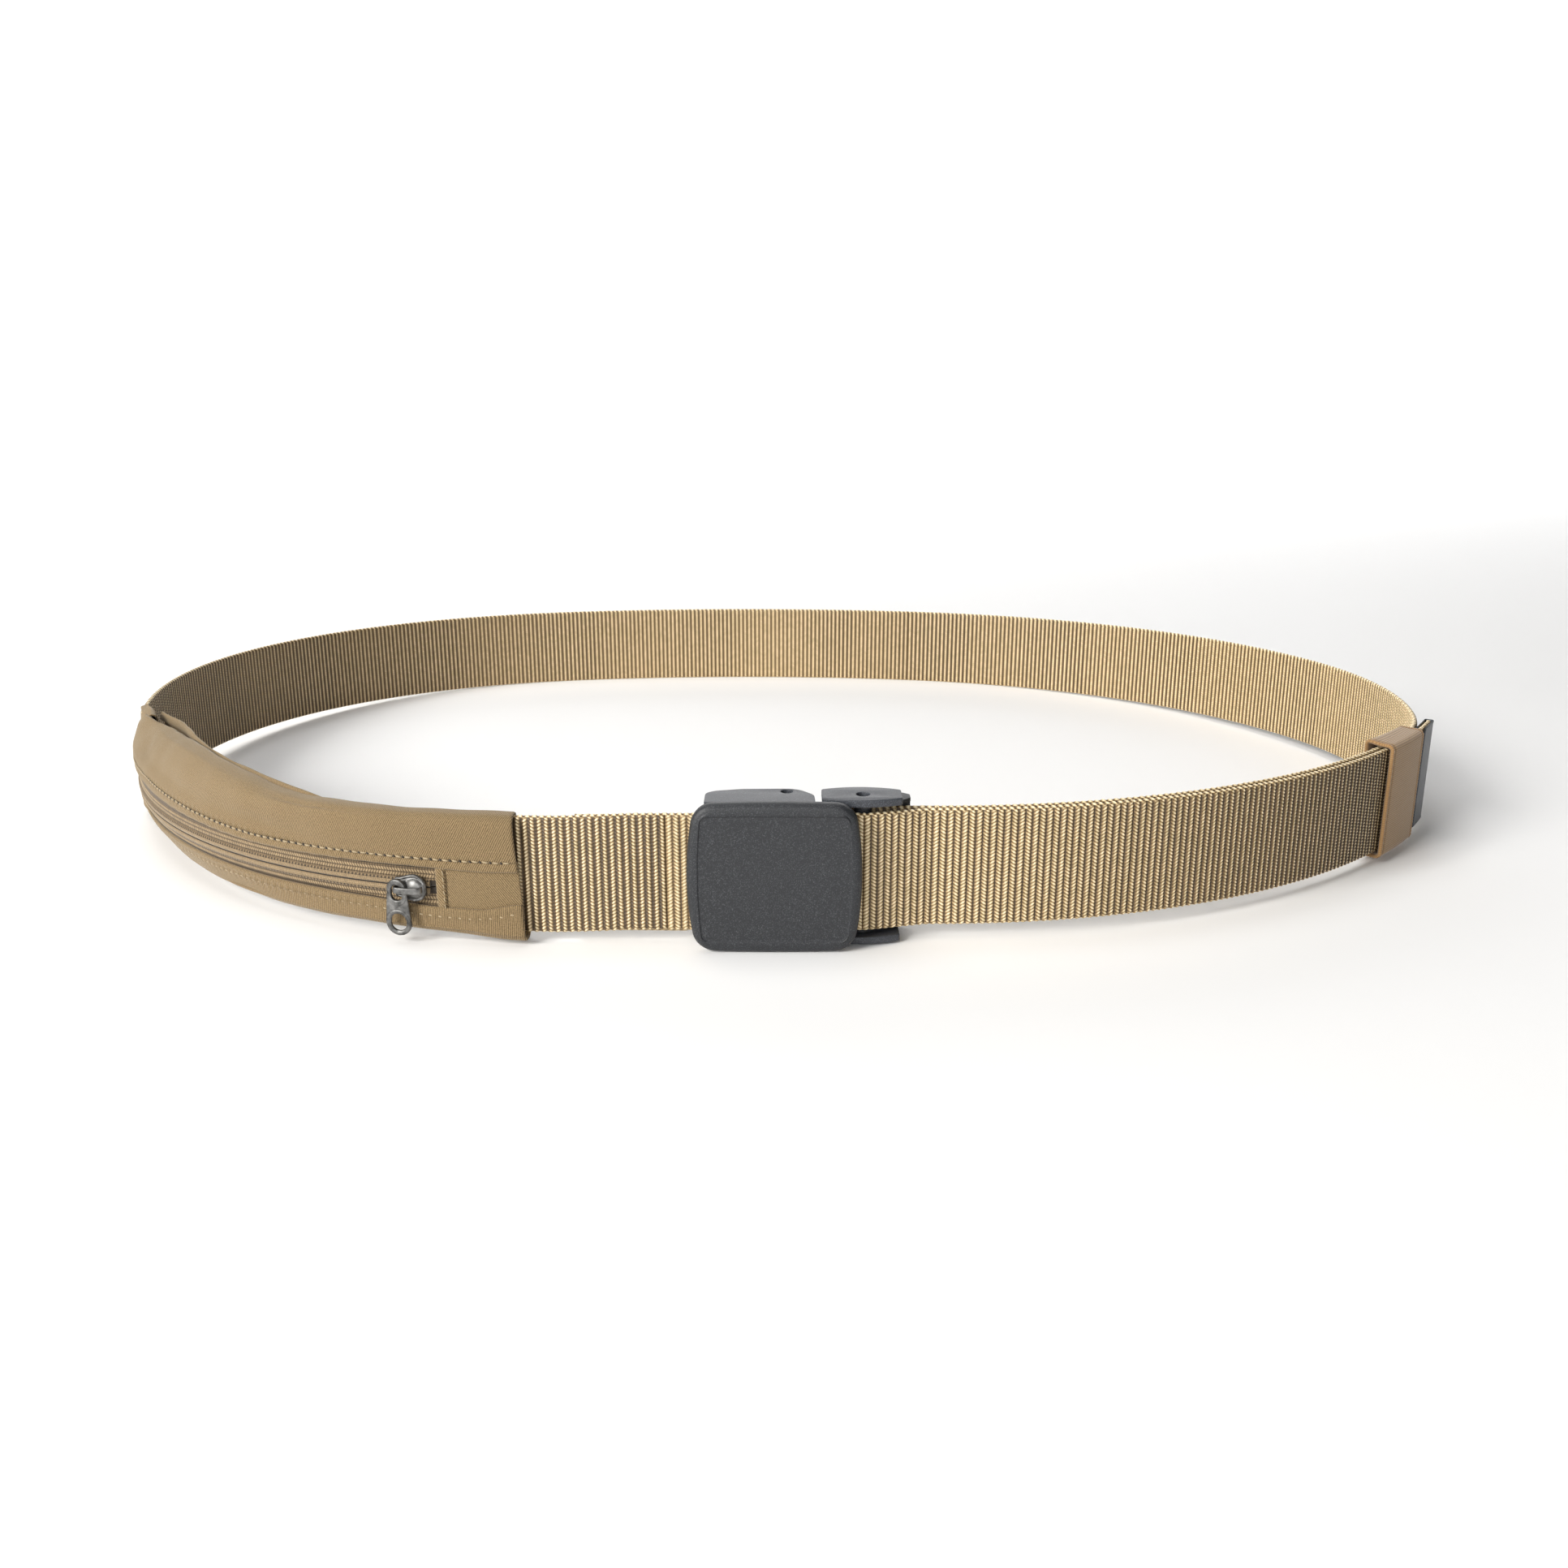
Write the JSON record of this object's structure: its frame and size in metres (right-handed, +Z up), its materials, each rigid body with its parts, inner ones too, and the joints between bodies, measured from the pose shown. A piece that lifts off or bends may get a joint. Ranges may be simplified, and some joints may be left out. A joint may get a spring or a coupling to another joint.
{
  "type": "money belt",
  "caption": "Webbing waist belt with a hidden zipped pocket, a plastic plate buckle with pivoting cover and web lock, an elastic keeper and a metal tip.",
  "frame": {"origin": "centre of the buckled belt's footprint, on the surface that its lower edge stands on", "axes": "+Z up across the webbing's width, -Y out of the buckle's face, +X along the belt towards the free tail as seen from the front"},
  "size_m": [0.4022, 0.3028, 0.038],
  "materials": {
    "webbing": "ribbed polyester webbing, satin",
    "pocket_fabric": "fine twill softshell, matt",
    "elastic": "ribbed knitted elastic, matt",
    "thread": "polyester sewing thread, satin",
    "zip_nylon": "woven zip tape and nylon coil, satin",
    "zip_metal": "antique nickel, worn satin",
    "buckle_plastic": "spark-grained moulded plastic, low sheen",
    "pin_steel": "drawn steel pin",
    "tip_metal": "dark lacquered sheet metal"
  },
  "bodies": {
    "strap": {"strap_sewn_end": "webbing", "strap_pocket_run": "webbing", "strap_left_run": "webbing", "strap_back_run": "webbing", "strap_right_run": "webbing", "strap_front_run": "webbing", "strap_adjuster_loop": "webbing", "strap_tail": "webbing", "strap_tip": "tip_metal", "end_stitching": "thread", "adjuster_frame": "buckle_plastic", "adjuster_pin": "pin_steel", "pocket_back_panel": "pocket_fabric", "pocket_upper_panel": "pocket_fabric", "pocket_lower_panel": "pocket_fabric", "pocket_end_facing": "pocket_fabric", "pocket_inner_lip": "pocket_fabric", "pocket_mouth": "pocket_fabric", "zip_tape_upper": "zip_nylon", "zip_tape_lower": "zip_nylon", "zip_coil_upper": "zip_nylon", "zip_coil_lower": "zip_nylon", "zip_end_tack": "pocket_fabric", "zip_far_stop": "thread", "topstitch_upper": "thread", "topstitch_lower": "thread"},
    "cover": {"buckle_cover": "buckle_plastic", "cover_bar": "pin_steel", "latch_pin": "pin_steel"},
    "lever": {"clamp_lever": "buckle_plastic"},
    "keeper": {"keeper_loop": "elastic", "keeper_seam": "thread"},
    "slider": {"zip_slider": "zip_metal"},
    "puller": {"zip_puller": "zip_metal"}
  },
  "joints": [
    {"name": "cover_flip", "type": "hinge", "parent": "strap", "child": "cover", "pos_m": [-0.0132, -0.1423, 0.019], "axis": [0, 0, -1], "range_deg": [0, 34]},
    {"name": "lever_open", "type": "hinge", "parent": "strap", "child": "lever", "pos_m": [0.0232, -0.14159, 0.019], "axis": [0, 0, 1], "range_deg": [0, 45]},
    {"name": "keeper_slide", "type": "hinge", "parent": "strap", "child": "keeper", "pos_m": [0.0414, 0.0434, 0.019], "axis": [0, 0, -1], "range_deg": [0, 36]},
    {"name": "zip_travel", "type": "hinge", "parent": "strap", "child": "slider", "pos_m": [-0.05187, 0.00501, 0.0142], "axis": [0, 0, -1], "range_deg": [0, 48]},
    {"name": "puller_swing", "type": "hinge", "parent": "slider", "child": "puller", "pos_m": [-0.09051, -0.14466, 0.0142], "axis": [0.2317, 0.9728, 0], "range_deg": [0, 95]}
  ]
}
